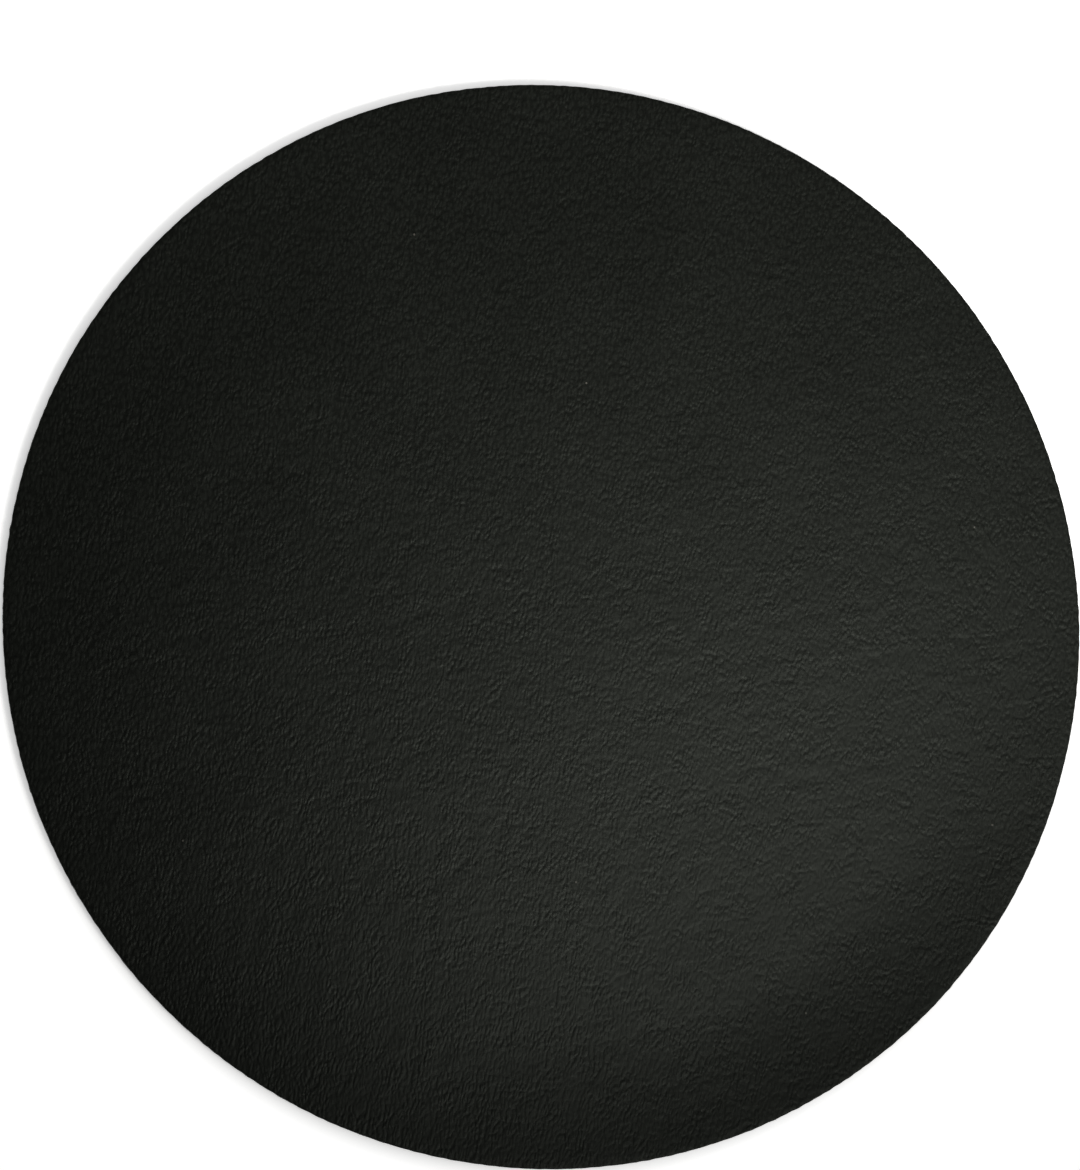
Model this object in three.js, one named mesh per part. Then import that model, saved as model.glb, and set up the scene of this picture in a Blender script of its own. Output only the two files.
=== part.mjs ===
// Round mouse pad: a soft laminate of four layers, cut to a plain circle in one stroke of a die.
// Millimetres, +Z up. The origin is the centre of the underside, where the pad rests on a desk.
import * as THREE from "three";

// Driving sizes
const padDiameter = 254;
const baseThickness = 2.0; // cellular rubber that grips the desk
const filmThickness = 0.1; // adhesive between the rubber and the cloth
const clothThickness = 0.5; // knitted backing that carries the grained coat
const faceThickness = 0.4; // grained coat that shows from above
const rimRoll = 0.25; // radius that the die presses into the upper rim of the coat
const wallDish = 0.12; // how far the cut wall of the springy rubber draws in at half its height

// Fineness of the round stretches
const roundSides = 180;
const rollSteps = 4;
const dishSteps = 6;

const padRadius = padDiameter / 2;

// Heights of the faces where two layers meet, counted up from the desk
const baseTop = baseThickness;
const filmTop = baseTop + filmThickness;
const clothTop = filmTop + clothThickness;
const faceTop = clothTop + faceThickness;

// A layer turned about the pad's centre line: its wall runs upwards between two flat round faces.
function turnedLayer(name, wall, look) {
  const underside = new THREE.Vector2(0, wall[0].y);
  const upperSide = new THREE.Vector2(0, wall[wall.length - 1].y);
  const geometry = new THREE.LatheGeometry([underside, ...wall, upperSide], roundSides);
  geometry.rotateX(Math.PI / 2);
  const layer = new THREE.Mesh(geometry, new THREE.MeshStandardMaterial({ metalness: 0, ...look }));
  layer.name = name;
  return layer;
}

// A square cut wall between two heights.
function straightWall(low, high) {
  return [new THREE.Vector2(padRadius, low), new THREE.Vector2(padRadius, high)];
}

// A cut wall that draws in towards half its height, in a shallow arch.
function dishedWall(low, high) {
  const wall = [];
  for (let step = 0; step <= dishSteps; step++) {
    const share = step / dishSteps;
    const drawnIn = wallDish * 4 * share * (1 - share);
    wall.push(new THREE.Vector2(padRadius - drawnIn, low + (high - low) * share));
  }
  return wall;
}

// A cut wall whose upper rim is rolled over in a quarter round, no deeper than the wall itself.
function rolledWall(low, high) {
  const roll = Math.min(rimRoll, high - low);
  const wall = roll < high - low ? [new THREE.Vector2(padRadius, low)] : [];
  for (let step = 0; step <= rollSteps; step++) {
    const turn = (Math.PI / 2) * (step / rollSteps);
    const out = padRadius - roll + roll * Math.cos(turn);
    wall.push(new THREE.Vector2(out, high - roll + roll * Math.sin(turn)));
  }
  return wall;
}

const pad = new THREE.Group();
pad.name = "mouse_pad";
pad.add(turnedLayer("rubber_base", dishedWall(0, baseTop), { color: 0x191a1a, roughness: 0.85 }));
pad.add(turnedLayer("bond_film", straightWall(baseTop, filmTop), { color: 0x2b2a27, roughness: 0.35 }));
pad.add(turnedLayer("carrier_cloth", straightWall(filmTop, clothTop), { color: 0x262724, roughness: 0.95 }));
pad.add(turnedLayer("leather_face", rolledWall(clothTop, faceTop), { color: 0x1f211e, roughness: 0.55 }));

export default pad;
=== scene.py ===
import math

import bpy
import numpy as np
from mathutils import Matrix, Vector


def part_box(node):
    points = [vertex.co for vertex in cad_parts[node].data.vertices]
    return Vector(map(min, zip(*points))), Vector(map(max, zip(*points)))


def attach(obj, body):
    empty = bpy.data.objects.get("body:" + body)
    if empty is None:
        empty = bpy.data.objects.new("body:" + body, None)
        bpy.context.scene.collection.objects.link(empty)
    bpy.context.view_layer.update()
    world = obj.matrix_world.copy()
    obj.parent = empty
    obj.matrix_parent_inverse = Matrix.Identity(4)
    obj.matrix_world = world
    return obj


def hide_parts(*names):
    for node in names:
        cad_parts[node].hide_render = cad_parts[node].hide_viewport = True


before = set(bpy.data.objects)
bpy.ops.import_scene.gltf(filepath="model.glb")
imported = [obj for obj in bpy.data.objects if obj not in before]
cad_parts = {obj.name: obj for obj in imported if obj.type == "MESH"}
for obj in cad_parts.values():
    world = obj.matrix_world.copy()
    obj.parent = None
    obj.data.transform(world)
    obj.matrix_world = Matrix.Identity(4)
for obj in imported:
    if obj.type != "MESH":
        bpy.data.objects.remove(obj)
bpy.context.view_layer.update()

mm = 0.001
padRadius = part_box("leather_face")[1].x
print("frame loaded: pad", round(2 * padRadius / mm, 1), "mm across")


# How the bonded layers lie together: all of them follow these

layShape = {
    "rimRise": 1.55 * mm,  # how far the rim curls off the desk where the shares below add up to one
    "rimBand": 0.235,  # share of the radius that the curl takes up
    "risePower": 1.8,  # how late in that band the curl sets in
    "riseEase": 0.01,  # how softly it dies away where its shares cancel out
    "riseHeading": math.radians(-20),  # the side where the one-sided rest of it is highest
    "riseEven": 0.55,  # share of the curl that goes all the way round
    "riseSaddle": 0.4,  # share of it that comes and goes twice in one round
    "saddleHeading": math.radians(-60),  # one of the two sides where that share is highest
    "wander": 0.07 * mm,  # how far the cut strays from a true circle
    "wanderLobes": np.array([2, 3, 5, 9, 16, 31, 57]),
    "nibble": 0.028 * mm,  # how ragged the cut is, a few millimetres at a time
    "nibbleLobes": (95, 310),  # fewest and most of these nibbles in one round
    "nibbleWaves": 28,
    "seed": 11,
}


# Lift of the laminate: nought in the middle, then nearly the square of the way into the rim band,
# more on one side, and a little more again on two opposite sides, easing to nought where these cancel out
def liftAt(x, y):
    reach = np.hypot(x, y) / padRadius
    band = np.maximum((reach - 1) / layShape["rimBand"] + 1, 0)
    turn = np.arctan2(y, x)
    oneSide = (1 - layShape["riseEven"]) * np.cos(turn - layShape["riseHeading"])
    twoSides = layShape["riseSaddle"] * np.cos(2 * (turn - layShape["saddleHeading"]))
    share = layShape["riseEven"] + oneSide + twoSides
    eased = 0.5 * (share + np.sqrt(share ** 2 + layShape["riseEase"]))
    return layShape["rimRise"] * eased * band ** layShape["risePower"]


# Radius of the cut at each angle: a circle, plus long cosine lobes that get weaker as they get shorter,
# plus short lobes of seeded counts and even strength
def cutRadius(turn):
    rng = np.random.default_rng(layShape["seed"])
    lobes = layShape["wanderLobes"]
    waves = np.cos(np.multiply.outer(turn, lobes) + rng.uniform(0, math.tau, len(lobes))) / np.sqrt(lobes)
    count = layShape["nibbleWaves"]
    short = rng.integers(*layShape["nibbleLobes"], count)
    phase = rng.uniform(0, math.tau, count)
    nibbles = np.cos(np.multiply.outer(turn, short) + phase) * math.sqrt(2 / count)
    return padRadius + layShape["wander"] * waves.sum(axis=-1) + layShape["nibble"] * nibbles.sum(axis=-1)


# Sum of cosines in seeded directions and wavelengths, scaled to a spread of about one
def waveField(x, y, count, shortest, longest, seed):
    rng = np.random.default_rng(seed)
    heading = rng.uniform(0, math.tau, count)
    length = np.exp(rng.uniform(math.log(shortest), math.log(longest), count))
    phase = rng.uniform(0, math.tau, count)
    along = np.multiply.outer(x, np.cos(heading)) + np.multiply.outer(y, np.sin(heading))
    return np.cos(math.tau * along / length + phase).sum(axis=-1) * math.sqrt(2 / count)


# Angles of one full round, evenly spaced
def fullTurn(count):
    return math.tau * np.arange(count) / count


# Gathering points and faces of one shell

def newShell():
    return {"points": [], "shade": [], "corners": [], "sides": [], "layout": [], "total": 0}


# Adds a grid of points, each with a shade from nought to one, and returns the grid of their numbers
def addPoints(shell, points, shade=0.5):
    numbers = shell["total"] + np.arange(points.size // 3).reshape(points.shape[:-1])
    shell["points"].append(points.reshape(-1, 3))
    shell["shade"].append(np.broadcast_to(shade, points.shape[:-1]).ravel())
    shell["total"] += numbers.size
    return numbers


# Adds faces given as rows of point numbers, with a place on the texture layout for each corner
def addFaces(shell, faces, layout):
    shell["corners"].append(faces.ravel())
    shell["sides"].append(np.full(len(faces), faces.shape[1]))
    shell["layout"].append(layout.reshape(-1, 2))


# Joins neighbours in a grid of point numbers with four-sided faces
def addGrid(shell, numbers, layout):
    def fourCorners(grid):
        return np.stack([grid[:-1, :-1], grid[1:, :-1], grid[1:, 1:], grid[:-1, 1:]], axis=2)

    faces = fourCorners(numbers).reshape(-1, 4)
    addFaces(shell, faces, fourCorners(layout).reshape(-1, 4, 2))


# Closes a ring of points with a fan about one point in the middle
def addFan(shell, ringNumbers, ringLayout, poleNumber, poleLayout):
    count = ringNumbers.size
    following = np.roll(ringNumbers, -1)
    pole = np.full(count, poleNumber)
    addFaces(
        shell,
        np.stack([ringNumbers, pole, following], axis=1),
        np.stack(
            [ringLayout, np.broadcast_to(poleLayout, (count, 2)), np.roll(ringLayout, -1, axis=0)],
            axis=1,
        ),
    )


# Places on the texture layout: middle and half width of a round face, or rows, foot and top of a wall
bigFace = ((0.5, 0.535), 0.465)
topCorner = ((0.06, 0.94), 0.05)
lowCorner = ((0.06, 0.06), 0.05)
besideLow = ((0.18, 0.06), 0.05)
slimWall = (4, 0.004, 0.064)
tallWall = (20, 0.12, 0.996)
fibreSpot = (0.9, 0.06)
planMargin = 1.01  # half width of a round face's place, in radii of the pad
endGap = 0.004  # kept free at both ends of a wall's rows
rowGap = 0.08  # kept free above and below a row, as a share of its height


# Flat layout of a round face: its plan, shrunk about a middle
def planLayout(points, middle, half):
    return np.asarray(middle) + points[..., :2] / (padRadius * planMargin) * half


# A wall of rings going round: joined ring to ring, and laid out in rows of equal length,
# one above the other
def addWall(shell, numbers, rows, low, high):
    closed = np.concatenate([numbers, numbers[:, :1]], axis=1)
    step = numbers.shape[1] // rows
    tall = (high - low) / rows
    u = np.linspace(endGap, 1 - endGap, step + 1)
    across = np.linspace(1 - rowGap, rowGap, len(numbers))
    for row in range(rows):
        strip = closed[:, row * step:(row + 1) * step + 1]
        v = low + tall * (row + across)
        addGrid(shell, strip, np.stack(np.broadcast_arrays(u[None, :], v[:, None]), axis=2))


# Makes the mesh object of a shell, with smooth shading broken only at real corners
def makePiece(shell, name, material, sharpAngle=40):
    mesh = bpy.data.meshes.new(name)
    points = np.concatenate(shell["points"]).astype(np.float32)
    corners = np.concatenate(shell["corners"]).astype(np.int32)
    sides = np.concatenate(shell["sides"])
    starts = np.concatenate([[0], np.cumsum(sides)[:-1]]).astype(np.int32)
    mesh.vertices.add(len(points))
    mesh.vertices.foreach_set("co", points.ravel())
    mesh.loops.add(len(corners))
    mesh.loops.foreach_set("vertex_index", corners)
    mesh.polygons.add(len(sides))
    mesh.polygons.foreach_set("loop_start", starts)
    layout = mesh.uv_layers.new(name="OFBake")
    layout.data.foreach_set("uv", np.concatenate(shell["layout"]).astype(np.float32).ravel())
    shade = mesh.attributes.new("shade", "FLOAT", "POINT")
    shade.data.foreach_set("value", np.concatenate(shell["shade"]).astype(np.float32))
    mesh.update(calc_edges=True)
    mesh.validate()
    mesh.polygons.foreach_set("use_smooth", np.ones(len(sides), dtype=bool))
    mesh.set_sharp_from_angle(angle=math.radians(sharpAngle))
    mesh.materials.append(material)
    piece = bpy.data.objects.new(name, mesh)
    bpy.context.scene.collection.objects.link(piece)
    print(name, "made:", len(points), "points,", int((sides - 2).sum()), "triangles")
    return piece


# Points of one ring at given angles, radius and height, lifted with the laminate
def ringPoints(turn, radius, height):
    x = radius * np.cos(turn)
    y = radius * np.sin(turn)
    return np.stack([x, y, height + liftAt(x, y)], axis=-1)


# Several rings at once: insets from the cut edge and heights, one of each for every ring
def ringStack(turn, insets, heights):
    radius = cutRadius(turn)[None, :] - np.asarray(insets)[:, None]
    return ringPoints(turn[None, :], radius, np.asarray(heights)[:, None])


# Moves rings out from the middle, each point by its own distance
def pushOut(rings, turn, distance):
    rings[..., 0] += distance * np.cos(turn)
    rings[..., 1] += distance * np.sin(turn)


# A plain round face: rings that shrink to the middle at one height, closed by a fan
def addRoundFace(shell, turn, edgeNumbers, height, upward, middle, half):
    shares = np.array([0.96, 0.9, 0.8, 0.6, 0.3])
    rings = ringPoints(turn[None, :], shares[:, None] * padRadius, height)
    numbers = np.concatenate([edgeNumbers[None, :], addPoints(shell, rings)])
    edge = np.concatenate(shell["points"])[edgeNumbers]
    layout = planLayout(np.concatenate([edge[None], rings]), middle, half)
    pole = addPoints(shell, np.array([[0.0, 0.0, height]]))[0]
    if upward:
        numbers = numbers[:, ::-1]
        layout = layout[:, ::-1]
    closed = np.concatenate([numbers, numbers[:, :1]], axis=1)
    addGrid(shell, closed, np.concatenate([layout, layout[:, :1]], axis=1))
    addFan(shell, numbers[-1], layout[-1], pole, np.asarray(middle))


# Node helpers

# Values are numbers for a node's sockets, or sockets to link from
def setSockets(tree, node, values):
    for socket, value in values.items():
        if isinstance(value, bpy.types.NodeSocket):
            tree.links.new(value, node.inputs[socket])
        else:
            node.inputs[socket].default_value = value


def addNode(tree, kind, values=None, **settings):
    node = tree.nodes.new("ShaderNode" + kind)
    for key, value in settings.items():
        setattr(node, key, value)
    setSockets(tree, node, values or {})
    return node


def addScaled(tree, vector, factor):
    return addNode(tree, "VectorMath", {0: vector, "Scale": factor}, operation="SCALE").outputs[0]


def addMath(tree, operation, first, second=0.0):
    return addNode(tree, "Math", {0: first, 1: second}, operation=operation).outputs[0]


# Smooth step of a value from one bound to the other, onto a new range
def addStep(tree, value, low, high, outLow=0.0, outHigh=1.0):
    node = addNode(
        tree,
        "MapRange",
        {"Value": value, "From Min": low, "From Max": high, "To Min": outLow, "To Max": outHigh},
        interpolation_type="SMOOTHSTEP",
    )
    return node.outputs["Result"]


# A share from nought to one, eased onto a range
def addSpan(tree, share, outLow, outHigh):
    return addStep(tree, share, 0.0, 1.0, outLow, outHigh)


def addBlend(tree, factor, first, second):
    node = addNode(tree, "Mix", {0: factor, 6: first, 7: second}, data_type="RGBA")
    return node.outputs[2]


# Noise in the plan only, with its scale in waves to the millimetre
def addFlatNoise(tree, place, scale, detail, roughness=0.5):
    return addNode(
        tree,
        "TexNoise",
        {"Vector": place, "Scale": scale, "Detail": detail, "Roughness": roughness},
        noise_dimensions="2D",
    )


def newGroup(name, inputs, outputs):
    tree = bpy.data.node_groups.new(name, "ShaderNodeTree")
    for label, kind, value in inputs:
        socket = tree.interface.new_socket(name=label, in_out="INPUT", socket_type=kind)
        if value is not None:
            socket.default_value = value
    for label in outputs:
        tree.interface.new_socket(name=label, in_out="OUTPUT", socket_type="NodeSocketFloat")
    return tree, tree.nodes.new("NodeGroupInput").outputs, tree.nodes.new("NodeGroupOutput").inputs


def useGroup(tree, group, values):
    node = addNode(tree, "Group")
    node.node_tree = group
    setSockets(tree, node, values)
    return node.outputs


# A material with its Principled shader, and Object coordinates turned into millimetres
def newMaterial(name, values):
    material = bpy.data.materials.new(name)
    material.use_nodes = True
    tree = material.node_tree
    shader = next(node for node in tree.nodes if node.type == "BSDF_PRINCIPLED")
    setSockets(tree, shader, values)
    place = addNode(tree, "TexCoord").outputs["Object"]
    toMm = addNode(tree, "Mapping", {"Vector": place, "Scale": (1 / mm, 1 / mm, 1 / mm)})
    return material, tree, shader, toMm.outputs["Vector"]


vectorSocket = "NodeSocketVector"
floatSocket = "NodeSocketFloat"


# Pebbled grain, in the plan: bumps that are longer one way and pulled about by noise, soft furrows
# between them, fine wrinkles over all, and calmer and livelier spots
def makePebbleGrain():
    tree, given, result = newGroup(
        "pebbleGrain",
        [
            ("Vector", vectorSocket, None),
            ("Pebble", floatSocket, 0.79),  # pitch of the pebbles, mm
            ("Long", floatSocket, 1.9),  # their length, as a share of their width
            ("Stray", floatSocket, 1.0),  # how far noise pulls them about, mm
            ("Lean", floatSocket, -0.12),  # turn of their long way from +Y, radians
            ("Wrinkle", floatSocket, 1.2),  # height of the wrinkles, as a share of the pebbles'
            ("Calm", floatSocket, 0.7),  # strength of the relief in its calmest spots
            ("Lively", floatSocket, 1.3),  # and in its liveliest
        ],
        ["Height", "Furrow", "Pore"],
    )
    lean = addNode(tree, "CombineXYZ", {"Z": given["Lean"]}).outputs[0]
    stretch = addNode(tree, "CombineXYZ", {"X": 1.0, "Y": given["Long"], "Z": 1.0}).outputs[0]
    leaned = addNode(
        tree,
        "Mapping",
        {"Vector": given["Vector"], "Rotation": lean, "Scale": stretch},
        vector_type="TEXTURE",
    ).outputs[0]
    pull = addFlatNoise(tree, leaned, scale=0.4, detail=1.0).outputs["Color"]
    centred = addNode(tree, "VectorMath", {0: pull, 1: (0.5, 0.5, 0.5)}, operation="SUBTRACT").outputs[0]
    pulled = addScaled(tree, centred, given["Stray"])
    strayed = addNode(tree, "VectorMath", {0: leaned, 1: pulled}, operation="ADD").outputs[0]
    density = addMath(tree, "DIVIDE", 1.0, given["Pebble"])
    cells = addNode(
        tree,
        "TexVoronoi",
        {"Vector": strayed, "Scale": density, "Smoothness": 0.6, "Randomness": 1.0},
        feature="SMOOTH_F1",
        voronoi_dimensions="2D",
    ).outputs["Distance"]
    wrinkle = addFlatNoise(tree, given["Vector"], scale=0.88, detail=1.5).outputs["Fac"]
    pore = addFlatNoise(tree, leaned, scale=1.7, detail=1.0).outputs["Fac"]
    slow = addFlatNoise(tree, given["Vector"], scale=0.15, detail=2.0).outputs["Fac"]
    dome = addStep(tree, cells, 0.0, 0.75, 1.0, 0.0)
    patch = addStep(tree, slow, 0.3, 0.7)
    wrinkleLift = addMath(tree, "MULTIPLY", wrinkle, given["Wrinkle"])
    relief = addMath(tree, "ADD", dome, wrinkleLift)
    furrow = addStep(tree, relief, 0.55, 1.6, 1.0, 0.0)
    strength = addSpan(tree, patch, given["Calm"], given["Lively"])
    meanRelief = 1.1
    aboutMean = addMath(tree, "SUBTRACT", relief, meanRelief)
    tree.links.new(addMath(tree, "MULTIPLY", aboutMean, strength), result["Height"])
    tree.links.new(furrow, result["Furrow"])
    tree.links.new(addStep(tree, pore, 0.3, 0.7), result["Pore"])
    return tree


# Slow uneven tone, used on every layer
def makeSlowTone():
    tree, given, result = newGroup(
        "slowTone",
        [("Vector", vectorSocket, None), ("Patch", floatSocket, 20.0)],
        ["Tone"],
    )
    scale = addMath(tree, "DIVIDE", 1.0, given["Patch"])
    cloud = {"Vector": given["Vector"], "Scale": scale, "Detail": 4.0}
    noise = addNode(tree, "TexNoise", cloud).outputs["Fac"]
    tree.links.new(addStep(tree, noise, 0.25, 0.75), result["Tone"])
    return tree


# Dust: small round specks, one in some of the cells of a coarse scatter
def makeDust():
    tree, given, result = newGroup(
        "dust",
        [
            ("Vector", vectorSocket, None),
            ("Spacing", floatSocket, 30.0),  # mean distance between specks, mm
            ("Size", floatSocket, 0.25),  # radius of a speck, mm
            ("Share", floatSocket, 0.4),  # share of the cells that hold one
        ],
        ["Speck"],
    )
    scale = addMath(tree, "DIVIDE", 1.0, given["Spacing"])
    cells = addNode(
        tree, "TexVoronoi", {"Vector": given["Vector"], "Scale": scale}, voronoi_dimensions="2D"
    )
    away = addMath(tree, "MULTIPLY", cells.outputs["Distance"], given["Spacing"])
    half = addMath(tree, "MULTIPLY", given["Size"], 0.5)
    spot = addStep(tree, away, half, given["Size"], 1.0, 0.0)
    draw = addNode(tree, "SeparateColor", {0: cells.outputs["Color"]}).outputs[0]
    shown = addMath(tree, "LESS_THAN", draw, given["Share"])
    tree.links.new(addMath(tree, "MULTIPLY", spot, shown), result["Speck"])
    return tree


# Cut cells of sponge rubber: small round pits, and a fine grain between them
def makeOpenCells():
    tree, given, result = newGroup(
        "openCells",
        [("Vector", vectorSocket, None), ("Cell", floatSocket, 0.3)],
        ["Pit", "Grain"],
    )
    scale = addMath(tree, "DIVIDE", 1.0, given["Cell"])
    cells = addNode(tree, "TexVoronoi", {"Vector": given["Vector"], "Scale": scale}).outputs["Distance"]
    fine = addNode(
        tree, "TexNoise", {"Vector": given["Vector"], "Scale": scale, "Detail": 4.0, "Roughness": 0.65}
    ).outputs["Fac"]
    tree.links.new(addStep(tree, cells, 0.15, 0.42, 1.0, 0.0), result["Pit"])
    tree.links.new(fine, result["Grain"])
    return tree


pebbleGrain = makePebbleGrain()
slowTone = makeSlowTone()
dust = makeDust()
dustColour = (0.09, 0.085, 0.075, 1)
openCells = makeOpenCells()
print("shared node groups built")


# Leather face

leatherFace = {
    "cells": 264,  # faces across the round grid of the upper side
    "gridMargin": 3 * mm,  # from that grid to the cut edge
    "rimInsets": np.array([2.3, 1.7, 1.2, 0.85, 0.55]) * mm,  # rings between the grid and the roll
    "rollRings": 8,
    "footInset": 0.02 * mm,  # how far the foot of the wall stays back
    "waviness": 0.022 * mm,  # slow swell of the sheet
    "swell": {"count": 16, "shortest": 24 * mm, "longest": 95 * mm, "seed": 5},
    "pucker": 0.012 * mm,  # shallow unevenness a few pebbles wide
    "puckers": {"count": 40, "shortest": 4 * mm, "longest": 9 * mm, "seed": 9},
    "fadeWidth": 6 * mm,  # both fade out this near to the cut edge
    "roll": (0.36 * mm, 0.28 * mm),  # width and drop of the rim where the die pressed it over
    "press": 0.10 * mm,  # how far the die sank the last millimetres of the face
    "pressWidth": 0.9 * mm,
    "colour": (0.0054, 0.0062, 0.0051, 1),
    # painted shade: the darker colour of the low furrows between the pebbles
    "furrowShadeColour": (0.0028, 0.0032, 0.0026, 1),
    "tonePatch": 26.0,  # size of the patches of slow tone, mm
    "slowShade": (0.9, 1.1),  # how dark and how light these patches are
    "poreShade": (0.75, 1.25),  # the same from pore to pore
    "dust": {"Spacing": 48.0, "Size": 0.3, "Share": 0.3},
    "roughness": (0.495, 0.45),  # on the pebbles and in the furrows
    "polish": 0.008,  # how far the slow tone takes it up or down
    "grainDepth": 0.045 * mm,
    "gloss": {"Specular IOR Level": 0.25, "Specular Tint": (0.925, 1.0, 0.90, 1)},
}


# Upper side: a square grid bent to a disc (the larger parameter gives the reach, their ratio the angle)
def roundGrid(cells):
    side = np.linspace(-1, 1, cells + 1)
    a, b = np.meshgrid(side, side, indexing="ij")
    wide = np.abs(a) >= np.abs(b)
    reach = np.where(wide, a, b)
    divisor = np.where(reach == 0, 1, reach)
    turn = np.where(wide, b / divisor, 2 - a / divisor) * math.pi / 4
    return reach * np.cos(turn), reach * np.sin(turn)


# Numbers round the border of a square grid, anticlockwise from the corner at high a and low b
def gridBorder(numbers):
    sides = [numbers[-1, :-1], numbers[:0:-1, -1], numbers[0, :0:-1], numbers[:-1, 0]]
    return np.concatenate(sides)


# Height of the face above its flat level: slow swell and puckers that fade at the rim, less the die's press
def faceRelief(x, y):
    swell = waveField(x, y, **leatherFace["swell"])
    pucker = waveField(x, y, **leatherFace["puckers"])
    toRim = np.maximum(cutRadius(np.arctan2(y, x)) - np.hypot(x, y), 0)
    fade = np.clip(toRim / leatherFace["fadeWidth"], 0, 1)
    pressed = leatherFace["press"] * np.exp(-toRim / leatherFace["pressWidth"])
    return fade * (leatherFace["waviness"] * swell + leatherFace["pucker"] * pucker) - pressed


def makeLeatherMaterial():
    material, tree, shader, place = newMaterial("face_leather", leatherFace["gloss"])
    grain = useGroup(tree, pebbleGrain, {"Vector": place})
    tone = useGroup(tree, slowTone, {"Vector": place, "Patch": leatherFace["tonePatch"]})["Tone"]
    speck = useGroup(tree, dust, {"Vector": place, **leatherFace["dust"]})["Speck"]
    # Painted shade: the low furrows between the pebbles get the darker colour
    body = addBlend(tree, grain["Furrow"], leatherFace["colour"], leatherFace["furrowShadeColour"])
    slowShade = addSpan(tree, tone, *leatherFace["slowShade"])
    poreShade = addSpan(tree, grain["Pore"], *leatherFace["poreShade"])
    toned = addScaled(tree, body, addMath(tree, "MULTIPLY", slowShade, poreShade))
    dusted = addBlend(tree, speck, toned, dustColour)
    tree.links.new(dusted, shader.inputs["Base Color"])
    polish = addSpan(tree, tone, -leatherFace["polish"], leatherFace["polish"])
    furrowed = addSpan(tree, grain["Furrow"], *leatherFace["roughness"])
    tree.links.new(addMath(tree, "ADD", furrowed, polish), shader.inputs["Roughness"])
    bump = addNode(
        tree, "Bump", {"Strength": 1.0, "Distance": leatherFace["grainDepth"], "Height": grain["Height"]}
    )
    tree.links.new(bump.outputs[0], shader.inputs["Normal"])
    return material


def makeLeatherFace():
    low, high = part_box("leather_face")
    cells = leatherFace["cells"]
    rollWidth, rollDrop = leatherFace["roll"]
    shell = newShell()
    x, y = roundGrid(cells)
    scale = cutRadius(np.arctan2(y, x)) - leatherFace["gridMargin"]
    x, y = x * scale, y * scale
    top = np.stack([x, y, high.z + faceRelief(x, y) + liftAt(x, y)], axis=-1)
    topNumbers = addPoints(shell, top)
    addGrid(shell, topNumbers, planLayout(top, *bigFace))
    turn = fullTurn(4 * cells) - math.pi / 4
    insets = leatherFace["rimInsets"]
    flatRings = ringStack(turn, insets, np.full(len(insets), high.z))
    flatRings[..., 2] += faceRelief(flatRings[..., 0], flatRings[..., 1])
    quarter = np.linspace(0, math.pi / 2, leatherFace["rollRings"])
    rollInsets = rollWidth * (1 - np.sin(quarter))
    sunk = high.z - leatherFace["press"] * np.exp(-rollInsets / leatherFace["pressWidth"])
    rollRings = ringStack(turn, rollInsets, sunk - rollDrop * (1 - np.cos(quarter)))
    footRing = ringStack(turn, [leatherFace["footInset"]], [low.z])
    rim = np.concatenate([flatRings, rollRings, footRing])
    rimNumbers = addPoints(shell, rim)
    border = gridBorder(topNumbers)
    joined = np.concatenate([border[None, :], rimNumbers[: len(insets)]])
    joinedPlaces = planLayout(np.concatenate(shell["points"])[joined], *bigFace)
    addGrid(
        shell,
        np.concatenate([joined, joined[:, :1]], axis=1),
        np.concatenate([joinedPlaces, joinedPlaces[:, :1]], axis=1),
    )
    addWall(shell, rimNumbers[len(insets) - 1:], *slimWall)
    addRoundFace(shell, turn, rimNumbers[-1], low.z, False, *topCorner)
    return makePiece(shell, "grained_face", makeLeatherMaterial())


faceLeather = makeLeatherFace()
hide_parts("leather_face")
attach(faceLeather, "root")


# Carrier cloth

carrierCloth = {
    "around": 4000,
    "yarn": 0.045 * mm,  # how far each cut yarn end stands out of the wall
    "yarnEnds": 1000,  # yarn ends round the pad
    "yarnRows": 7,  # rings of points up the wall
    "yarnLean": 0.6,  # shift of the yarn ends up the wall, radians
    "uneven": {"count": 24, "shortest": 2 * mm, "longest": 9 * mm, "seed": 31},
    "yarnStray": 1.5,  # how far that unevenness moves the yarn ends along, radians
    "wallStray": 0.5,  # and how far it moves the wall, as a share of the yarn
    "fibres": 1100,
    "fibreLength": (0.15 * mm, 0.55 * mm),
    "fibreThick": 0.013 * mm,
    "fibreTaper": 0.75,  # share of the thickness that is gone at the tip
    "fibreRoot": 0.08 * mm,  # how deep in the wall they start
    "fibreMargin": 0.08,  # share of the layer's height without any, above and below
    "fibreSlant": 0.55,  # spread of their slant sideways, radians
    "fibreRise": (-0.15, 0.45),  # mean and spread of their rise, as a share of the length
    "fibreBend": 0.5,  # spread of their bend sideways, in the same way
    "fibreSag": 0.25,  # how far the tips sink
    "fibreReach": (0.5 * mm, 0.2 * mm),  # furthest below and above the layer
    "fibreShade": 0.8,
    "colour": (0.012, 0.012, 0.011, 1),  # painted shade between the yarns, where the wall sits back
    "endColour": (0.10, 0.098, 0.09, 1),  # on the cut ends
    "tonePatch": 0.8,  # mm
    "worn": (0.55, 1.0),  # how far that tone darkens the cut ends
    "fuzz": 9.0,  # fuzz of the ends, in waves to the millimetre
    "frayed": (0.6, 1.15),  # how far the fuzz darkens or lightens them
    "fuzzDepth": 0.03 * mm,
    "roughness": (0.82, 1.0),
    "gloss": {"Specular IOR Level": 0.2, "Sheen Weight": 0.15},
    "seed": 23,
}


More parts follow.
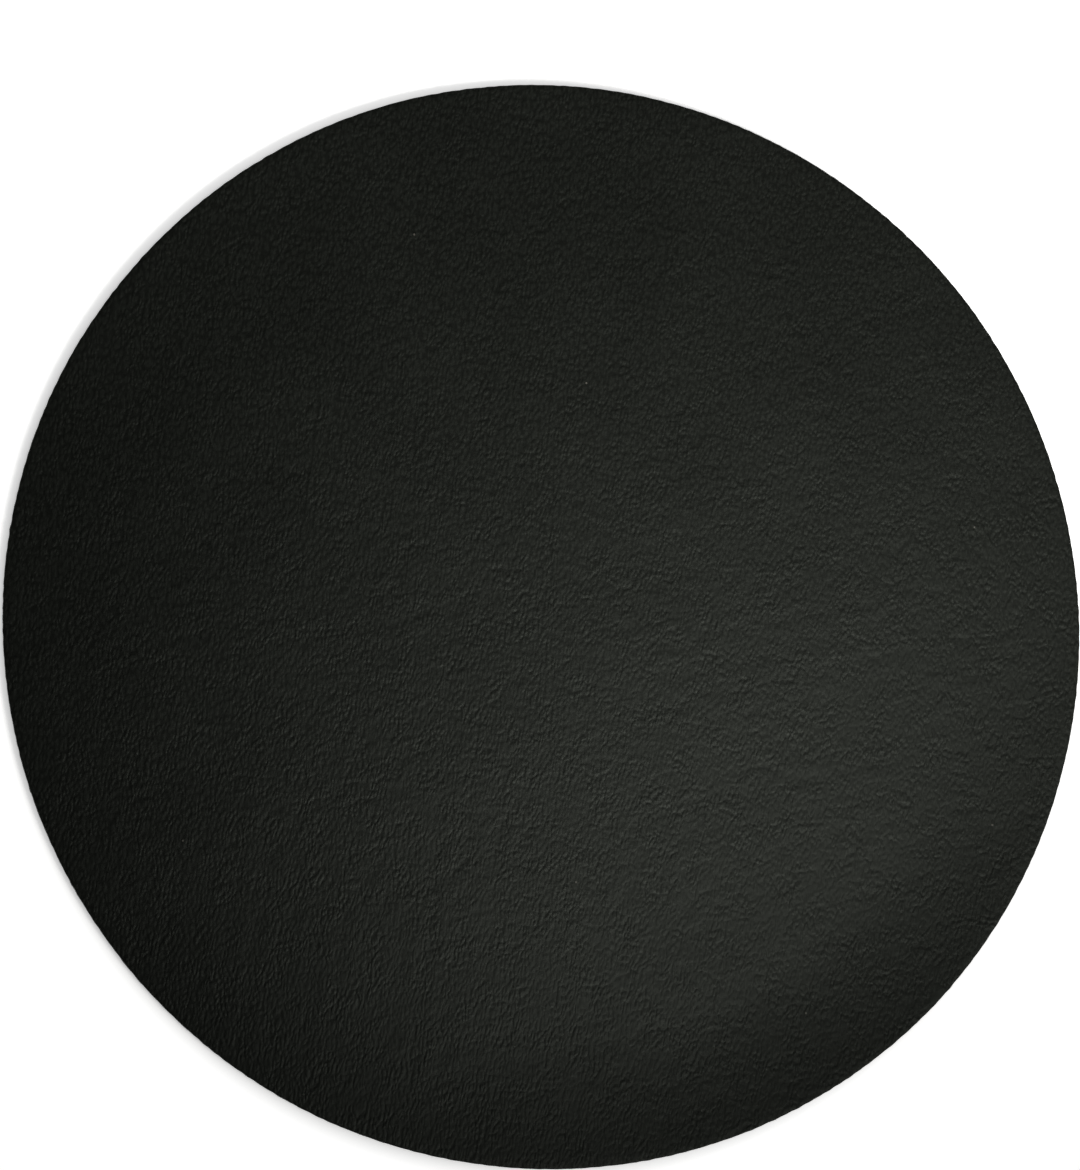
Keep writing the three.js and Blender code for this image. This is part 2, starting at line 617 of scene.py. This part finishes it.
def makeClothMaterial():
    material, tree, shader, place = newMaterial("backing_cloth", carrierCloth["gloss"])
    tone = useGroup(tree, slowTone, {"Vector": place, "Patch": carrierCloth["tonePatch"]})["Tone"]
    # Painted shade: the shade attribute is nought in the sunken gaps between yarns, which get the dark
    # colour, and one on their cut ends
    yarnEnd = addNode(tree, "Attribute", attribute_name="shade").outputs["Fac"]
    fuzzy = {"Vector": place, "Scale": carrierCloth["fuzz"], "Detail": 3.0}
    fuzz = addNode(tree, "TexNoise", fuzzy).outputs["Fac"]
    worn = addMath(tree, "MULTIPLY", yarnEnd, addSpan(tree, tone, *carrierCloth["worn"]))
    frayed = addMath(tree, "MULTIPLY", worn, addStep(tree, fuzz, 0.3, 0.7, *carrierCloth["frayed"]))
    body = addBlend(tree, frayed, carrierCloth["colour"], carrierCloth["endColour"])
    tree.links.new(body, shader.inputs["Base Color"])
    matt = addStep(tree, fuzz, 0.2, 0.8, *carrierCloth["roughness"])
    tree.links.new(matt, shader.inputs["Roughness"])
    bump = addNode(tree, "Bump", {"Strength": 1.0, "Distance": carrierCloth["fuzzDepth"], "Height": fuzz})
    tree.links.new(bump.outputs[0], shader.inputs["Normal"])
    return material


# Loose fibres: three-sided tapering threads that start inside the wall and run outwards on parabolas,
# bending to one side and down
def addFibres(shell, low, high):
    rng = np.random.default_rng(carrierCloth["seed"])
    count = carrierCloth["fibres"]
    turn = rng.uniform(0, math.tau, count)
    length = rng.uniform(*carrierCloth["fibreLength"], count)
    margin = carrierCloth["fibreMargin"] * (high - low)
    height = rng.uniform(low + margin, high - margin, count)
    slant = rng.normal(0, carrierCloth["fibreSlant"], count)
    rise = rng.normal(*carrierCloth["fibreRise"], count)
    bend = rng.normal(0, carrierCloth["fibreBend"], count)
    along = np.linspace(0, 1, 5)[None, :]
    start = cutRadius(turn)[:, None] - carrierCloth["fibreRoot"]
    out = start + length[:, None] * along * np.cos(slant)[:, None]
    sideways = length[:, None] * (np.sin(slant)[:, None] * along + bend[:, None] * along ** 2 * 0.5)
    x = out * np.cos(turn)[:, None] - sideways * np.sin(turn)[:, None]
    y = out * np.sin(turn)[:, None] + sideways * np.cos(turn)[:, None]
    below, above = carrierCloth["fibreReach"]
    z = height[:, None] + length[:, None] * (rise[:, None] * along - carrierCloth["fibreSag"] * along ** 2)
    z = np.clip(z, low - below, high + above) + liftAt(x, y)
    spine = np.stack([x, y, z], axis=-1)
    corner = fullTurn(3)
    thick = carrierCloth["fibreThick"] * (1 - carrierCloth["fibreTaper"] * along[..., None, None])
    tangent = np.stack([-np.sin(turn), np.cos(turn), np.zeros(count)], axis=-1)[:, None, None, :]
    upright = np.array([0.0, 0.0, 1.0])
    offset = np.cos(corner)[:, None] * tangent + np.sin(corner)[:, None] * upright
    tubes = addPoints(shell, spine[:, :, None, :] + thick * offset, carrierCloth["fibreShade"])
    looped = np.concatenate([tubes, tubes[:, :, :1]], axis=2)
    near, far = looped[:, :-1], looped[:, 1:]
    quads = np.stack([near[..., :-1], near[..., 1:], far[..., 1:], far[..., :-1]], axis=-1)
    addFaces(shell, quads.reshape(-1, 4), np.broadcast_to(fibreSpot, (quads.size, 2)))
    ends = np.concatenate([tubes[:, 0, ::-1], tubes[:, -1]])
    addFaces(shell, ends, np.broadcast_to(fibreSpot, (ends.size, 2)))


def makeCarrierCloth():
    low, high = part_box("carrier_cloth")
    shell = newShell()
    turn = fullTurn(carrierCloth["around"])
    rows = np.linspace(0, 1, carrierCloth["yarnRows"])
    rings = ringStack(turn, np.zeros(len(rows)), high.z + (low.z - high.z) * rows)
    uneven = waveField(turn * padRadius, np.zeros_like(turn), **carrierCloth["uneven"])
    around = np.cos(carrierCloth["yarnEnds"] * turn + carrierCloth["yarnStray"] * uneven)
    lobes = around[None, :] * np.cos(math.tau * rows - carrierCloth["yarnLean"])[:, None]
    strayed = lobes + carrierCloth["wallStray"] * uneven[None, :]
    pushOut(rings, turn, carrierCloth["yarn"] * strayed * np.sin(math.pi * rows)[:, None])
    # shade of each point: nought in the sunken gaps between yarns, which the material paints dark as
    # painted shade
    numbers = addPoints(shell, rings, np.clip(0.5 + 0.5 * lobes, 0, 1))
    addWall(shell, numbers, *tallWall)
    addRoundFace(shell, turn, numbers[0], high.z, True, *lowCorner)
    addRoundFace(shell, turn, numbers[-1], low.z, False, *besideLow)
    addFibres(shell, low.z, high.z)
    return makePiece(shell, "cloth_backing", makeClothMaterial(), sharpAngle=60)


clothBacking = makeCarrierCloth()
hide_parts("carrier_cloth")
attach(clothBacking, "root")


# Bond film

bondFilm = {
    "around": 1440,
    "rings": 5,  # rings of points up the wall
    "inset": 0.02 * mm,  # how far the film stays back from the cut edge
    "squeeze": 0.03 * mm,  # how far the adhesive swells out of the joint, or stays back in it
    "swell": {"count": 30, "shortest": 1.5 * mm, "longest": 14 * mm, "seed": 41},
    "colour": (0.016, 0.015, 0.0125, 1),
    "thinColour": (0.028, 0.026, 0.021, 1),
    "tonePatch": 3.0,  # mm
    "roughness": (0.3, 0.5),
    "gloss": {"Specular IOR Level": 0.5},
}


def makeFilmMaterial():
    material, tree, shader, place = newMaterial("adhesive", bondFilm["gloss"])
    tone = useGroup(tree, slowTone, {"Vector": place, "Patch": bondFilm["tonePatch"]})["Tone"]
    body = addBlend(tree, tone, bondFilm["colour"], bondFilm["thinColour"])
    tree.links.new(body, shader.inputs["Base Color"])
    tree.links.new(addSpan(tree, tone, *bondFilm["roughness"]), shader.inputs["Roughness"])
    return material


def makeBondFilm():
    low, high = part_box("bond_film")
    shell = newShell()
    turn = fullTurn(bondFilm["around"])
    rows = np.linspace(0, 1, bondFilm["rings"])
    rings = ringStack(turn, np.full(len(rows), bondFilm["inset"]), high.z + (low.z - high.z) * rows)
    swell = waveField(turn * padRadius, np.zeros_like(turn), **bondFilm["swell"])
    pushOut(rings, turn, bondFilm["squeeze"] * swell[None, :] * np.sin(math.pi * rows)[:, None])
    numbers = addPoints(shell, rings)
    addWall(shell, numbers, *tallWall)
    addRoundFace(shell, turn, numbers[0], high.z, True, *lowCorner)
    addRoundFace(shell, turn, numbers[-1], low.z, False, *besideLow)
    return makePiece(shell, "adhesive_film", makeFilmMaterial(), sharpAngle=60)


adhesiveFilm = makeBondFilm()
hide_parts("bond_film")
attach(adhesiveFilm, "root")


# Rubber base

rubberBase = {
    "around": 1440,
    "rings": 11,  # rings of points up the wall
    "dish": 0.12 * mm,  # how far the cut wall draws in halfway up
    "ripple": 0.02 * mm,
    "ripples": {"count": 30, "shortest": 2 * mm, "longest": 18 * mm, "seed": 53},
    "gripDepth": 0.22 * mm,  # height of the grip studs
    "studPitch": (3.6 * mm, 1.75 * mm),  # along a row, and from row to row
    "studFoot": (1.45 * mm, 0.72 * mm),  # half lengths of the lozenge at its foot
    "studTip": 0.72,  # size of its tip, as a share of the foot
    "studSink": 0.04 * mm,  # how deep its foot sits in the sheet
    "studMargin": (0.5 * mm, 0.25 * mm),  # its middle and its points stay this far inside the edge
    "rowHeading": math.radians(14),
    "colour": (0.0125, 0.0125, 0.0125, 1),
    # painted shade: the darker colour in the pits of the cells
    "pitShadeColour": (0.0042, 0.0042, 0.0042, 1),
    "bloomColour": (0.024, 0.024, 0.023, 1),
    "bloom": 0.5,  # how far the bloom covers the rubber at most
    "tonePatch": 14.0,  # mm
    "cell": 0.28,  # size of the sponge's cells, mm
    "cellDepth": 0.035 * mm,
    "grainShare": 0.6,  # height of the fine grain, as a share of the cells' depth
    "dust": {"Spacing": 9.0, "Size": 0.14, "Share": 0.5},
    "dustCover": 0.6,
    "roughness": (0.68, 0.9),
    "gloss": {"Specular IOR Level": 0.35},
}


def makeRubberMaterial():
    material, tree, shader, place = newMaterial("base_rubber", rubberBase["gloss"])
    cells = useGroup(tree, openCells, {"Vector": place, "Cell": rubberBase["cell"]})
    tone = useGroup(tree, slowTone, {"Vector": place, "Patch": rubberBase["tonePatch"]})["Tone"]
    speck = useGroup(tree, dust, {"Vector": place, **rubberBase["dust"]})["Speck"]
    bloom = addMath(tree, "MULTIPLY", tone, rubberBase["bloom"])
    body = addBlend(tree, bloom, rubberBase["colour"], rubberBase["bloomColour"])
    # Painted shade: the pits of the sponge's cells are coloured darker
    pitShaded = addBlend(tree, cells["Pit"], body, rubberBase["pitShadeColour"])
    cover = addMath(tree, "MULTIPLY", speck, rubberBase["dustCover"])
    tree.links.new(addBlend(tree, cover, pitShaded, dustColour), shader.inputs["Base Color"])
    matt = addStep(tree, cells["Grain"], 0.3, 0.7, *rubberBase["roughness"])
    tree.links.new(matt, shader.inputs["Roughness"])
    fine = addMath(tree, "MULTIPLY", cells["Grain"], rubberBase["grainShare"])
    relief = addMath(tree, "SUBTRACT", fine, cells["Pit"])
    bump = addNode(tree, "Bump", {"Strength": 1.0, "Distance": rubberBase["cellDepth"], "Height": relief})
    tree.links.new(bump.outputs[0], shader.inputs["Normal"])
    return material


# Grip studs: lozenges in staggered rows, each a foot and a smaller tip, drawn in where they would
# cross the cut edge
def addStuds(shell, floor, root):
    along, between = rubberBase["studPitch"]
    reach = int(padRadius / between) + 1
    rows, places = np.meshgrid(np.arange(-reach, reach + 1), np.arange(-reach, reach + 1), indexing="ij")
    a = (places + 0.5 * (rows % 2)) * along
    b = rows * between
    turned = rubberBase["rowHeading"]
    middleX = (a * math.cos(turned) - b * math.sin(turned)).ravel()
    middleY = (a * math.sin(turned) + b * math.cos(turned)).ravel()
    middleMargin, pointMargin = rubberBase["studMargin"]
    kept = np.hypot(middleX, middleY) < padRadius - middleMargin
    middles = np.stack([middleX[kept], middleY[kept]], axis=-1)
    long, short = rubberBase["studFoot"]
    lozenge = np.array([[long, 0], [0, short], [-long, 0], [0, -short]])
    spin = np.array([[math.cos(turned), math.sin(turned)], [-math.sin(turned), math.cos(turned)]])
    outline = lozenge @ spin
    levels = np.stack([outline, outline * rubberBase["studTip"]])
    plan = middles[:, None, None, :] + levels[None]
    away = np.hypot(plan[..., 0], plan[..., 1])
    plan = plan * np.minimum(1, (padRadius - pointMargin) / away)[..., None]
    heights = np.array([root, floor])[None, :, None] + liftAt(plan[..., 0], plan[..., 1])
    points = np.concatenate([plan, heights[..., None]], axis=-1)
    numbers = addPoints(shell, points)
    foot, tip = numbers[:, 0], numbers[:, 1]
    nextFoot, nextTip = np.roll(foot, -1, axis=1), np.roll(tip, -1, axis=1)
    sides = np.stack([foot, tip, nextTip, nextFoot], axis=-1).reshape(-1, 4)
    faces = np.concatenate([sides, tip[:, ::-1], foot])
    everyPoint = np.concatenate(shell["points"])
    addFaces(shell, faces, planLayout(everyPoint[faces], *bigFace))


def makeRubberBase():
    low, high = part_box("rubber_base")
    under = low.z + rubberBase["gripDepth"]
    shell = newShell()
    turn = fullTurn(rubberBase["around"])
    rows = np.linspace(0, 1, rubberBase["rings"])
    heights = high.z + (under - high.z) * rows
    rings = ringStack(turn, rubberBase["dish"] * 4 * rows * (1 - rows), heights)
    ripple = waveField(turn * padRadius, np.zeros_like(turn), **rubberBase["ripples"])
    pushOut(rings, turn, rubberBase["ripple"] * ripple[None, :] * np.sin(math.pi * rows)[:, None])
    numbers = addPoints(shell, rings)
    addWall(shell, numbers, *slimWall)
    addRoundFace(shell, turn, numbers[0], high.z, True, *topCorner)
    addRoundFace(shell, turn, numbers[-1], under, False, *bigFace)
    addStuds(shell, low.z, under + rubberBase["studSink"])
    return makePiece(shell, "grip_base", makeRubberMaterial(), sharpAngle=25)


gripBase = makeRubberBase()
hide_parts("rubber_base")
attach(gripBase, "root")

print("layers stacked")


# Stage: floor, lamp, world and camera

stageSetup = {
    "floorHalf": 4.0,
    "floorLevel": -0.02 * mm,
    "floorGlow": 0.9,  # share of white that the camera sees on the floor whatever the lamp does
    "floorTone": 0.9,  # grey level of the floor itself
    "shadeReach": 5 * mm,  # how far from the pad its soft shade takes from that glow
    "skyFill": 0.09,  # even light from all sides
    "skyTop": 0.02,  # level mirrored from overhead
    "skyRim": 1.0,  # level mirrored low down
    "skyBand": (0.1, 0.5),  # heights between which the one turns into the other
}
# What the camera sees past the floor is as bright as the floor out of the lamp's beam
stageSetup["skySeen"] = stageSetup["floorGlow"] + stageSetup["floorTone"] * stageSetup["skyFill"]

# One soft lamp, up at the right on the near side, aimed past the middle of the pad to its far side
keyLamp = {
    "place": (0.146, -0.127, 0.321),
    "aim": (0.027, 0.119, 0),
    "size": (0.24, 0.145),
    "spread": math.radians(65.5),
    "power": 0.347,
    "colour": (1.0, 0.99, 0.95),
}


# True for the rays that should meet a white surround: from the camera, and mirrored or passed on
def addSeenRay(tree):
    path = addNode(tree, "LightPath").outputs
    either = addMath(tree, "MAXIMUM", path["Is Camera Ray"], path["Is Glossy Ray"])
    return addMath(tree, "MAXIMUM", either, path["Is Transmission Ray"])


def makeFloor():
    half, level = stageSetup["floorHalf"], stageSetup["floorLevel"]
    mesh = bpy.data.meshes.new("floor")
    corners = [(-half, -half, level), (half, -half, level), (half, half, level), (-half, half, level)]
    mesh.from_pydata(corners, [], [(0, 1, 2, 3)])
    material = bpy.data.materials.new("pale_floor")
    material.use_nodes = True
    tree = material.node_tree
    tree.nodes.clear()
    tone = stageSetup["floorTone"]
    matt = addNode(tree, "BsdfDiffuse", {"Color": (tone, tone, tone, 1)})
    # Painted shadow: ambient occlusion dims the floor's glow near the pad as its soft contact shadow
    clear = addNode(tree, "AmbientOcclusion", {"Distance": stageSetup["shadeReach"]}).outputs["AO"]
    lit = addMath(tree, "MULTIPLY", clear, stageSetup["floorGlow"])
    seen = addMath(tree, "MULTIPLY", addSeenRay(tree), lit)
    glow = addNode(tree, "Emission", {"Color": (1, 1, 1, 1), "Strength": seen})
    both = addNode(tree, "AddShader", {0: matt.outputs[0], 1: glow.outputs[0]})
    output = addNode(tree, "OutputMaterial")
    tree.links.new(both.outputs[0], output.inputs["Surface"])
    mesh.materials.append(material)
    floor = bpy.data.objects.new("floor", mesh)
    bpy.context.scene.collection.objects.link(floor)


def makeLamp():
    data = bpy.data.lights.new("key", "AREA")
    data.shape = "RECTANGLE"
    data.size, data.size_y = keyLamp["size"]
    data.spread = keyLamp["spread"]
    data.energy = keyLamp["power"]
    data.color = keyLamp["colour"]
    lamp = bpy.data.objects.new("key", data)
    lamp.location = keyLamp["place"]
    heading = Vector(keyLamp["aim"]) - Vector(keyLamp["place"])
    lamp.rotation_euler = heading.to_track_quat("-Z", "Y").to_euler()
    bpy.context.scene.collection.objects.link(lamp)


# Sky: an even fill for lighting, and what is mirrored in it is white low down and dim overhead
def makeSky():
    world = bpy.data.worlds.new("studio")
    bpy.context.scene.world = world
    world.use_nodes = True
    tree = world.node_tree
    background = next(node for node in tree.nodes if node.type == "BACKGROUND")
    up = addNode(tree, "SeparateXYZ", {0: addNode(tree, "TexCoord").outputs["Generated"]}).outputs["Z"]
    mirrored = addStep(tree, up, *stageSetup["skyBand"], stageSetup["skyRim"], stageSetup["skyTop"])
    path = addNode(tree, "LightPath").outputs
    passedOn = addMath(tree, "MAXIMUM", path["Is Glossy Ray"], path["Is Transmission Ray"])
    lit = addNode(tree, "Mix", {0: passedOn, 2: stageSetup["skyFill"], 3: mirrored}).outputs[0]
    level = addNode(tree, "Mix", {0: path["Is Camera Ray"], 2: lit, 3: stageSetup["skySeen"]})
    tree.links.new(level.outputs[0], background.inputs["Strength"])
    background.inputs["Color"].default_value = (1, 1, 1, 1)


makeFloor()
makeLamp()
makeSky()

# Camera: nearly straight above, leaning a little to the lower left, which makes the outline as oval
# as it looks
cameraView = {
    "frame": (1080, 1170),  # pixels of the picture
    "padMiddle": (556.53, 615.67),  # where the middle of the upper face lands in it
    "tilt": math.radians(10.83),  # from straight above
    "heading": math.radians(-143.9),  # side that it leans to
    "away": 0.645,
    "lens": 85,
    "sensor": 36,
}


def makeCamera():
    data = bpy.data.cameras.new("camera")
    data.lens = cameraView["lens"]
    data.sensor_width = cameraView["sensor"]
    width, height = cameraView["frame"]
    perPixel = cameraView["away"] * cameraView["sensor"] / cameraView["lens"] / max(width, height)
    tilt, heading = cameraView["tilt"], cameraView["heading"]
    back = Vector((math.cos(heading) * math.sin(tilt), math.sin(heading) * math.sin(tilt), math.cos(tilt)))
    right = Vector((0, 1, 0)).cross(back).normalized()
    upward = back.cross(right)
    aside = (cameraView["padMiddle"][0] - width / 2) * perPixel
    above = (height / 2 - cameraView["padMiddle"][1]) * perPixel
    middle = Vector((0, 0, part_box("leather_face")[1].z))
    camera = bpy.data.objects.new("camera", data)
    camera.location = middle + back * cameraView["away"] - right * aside - upward * above
    camera.rotation_euler = Matrix((right, upward, back)).transposed().to_euler()
    bpy.context.scene.collection.objects.link(camera)
    bpy.context.scene.camera = camera


makeCamera()
bpy.context.scene.view_settings.view_transform = "Standard"
print("stage set")
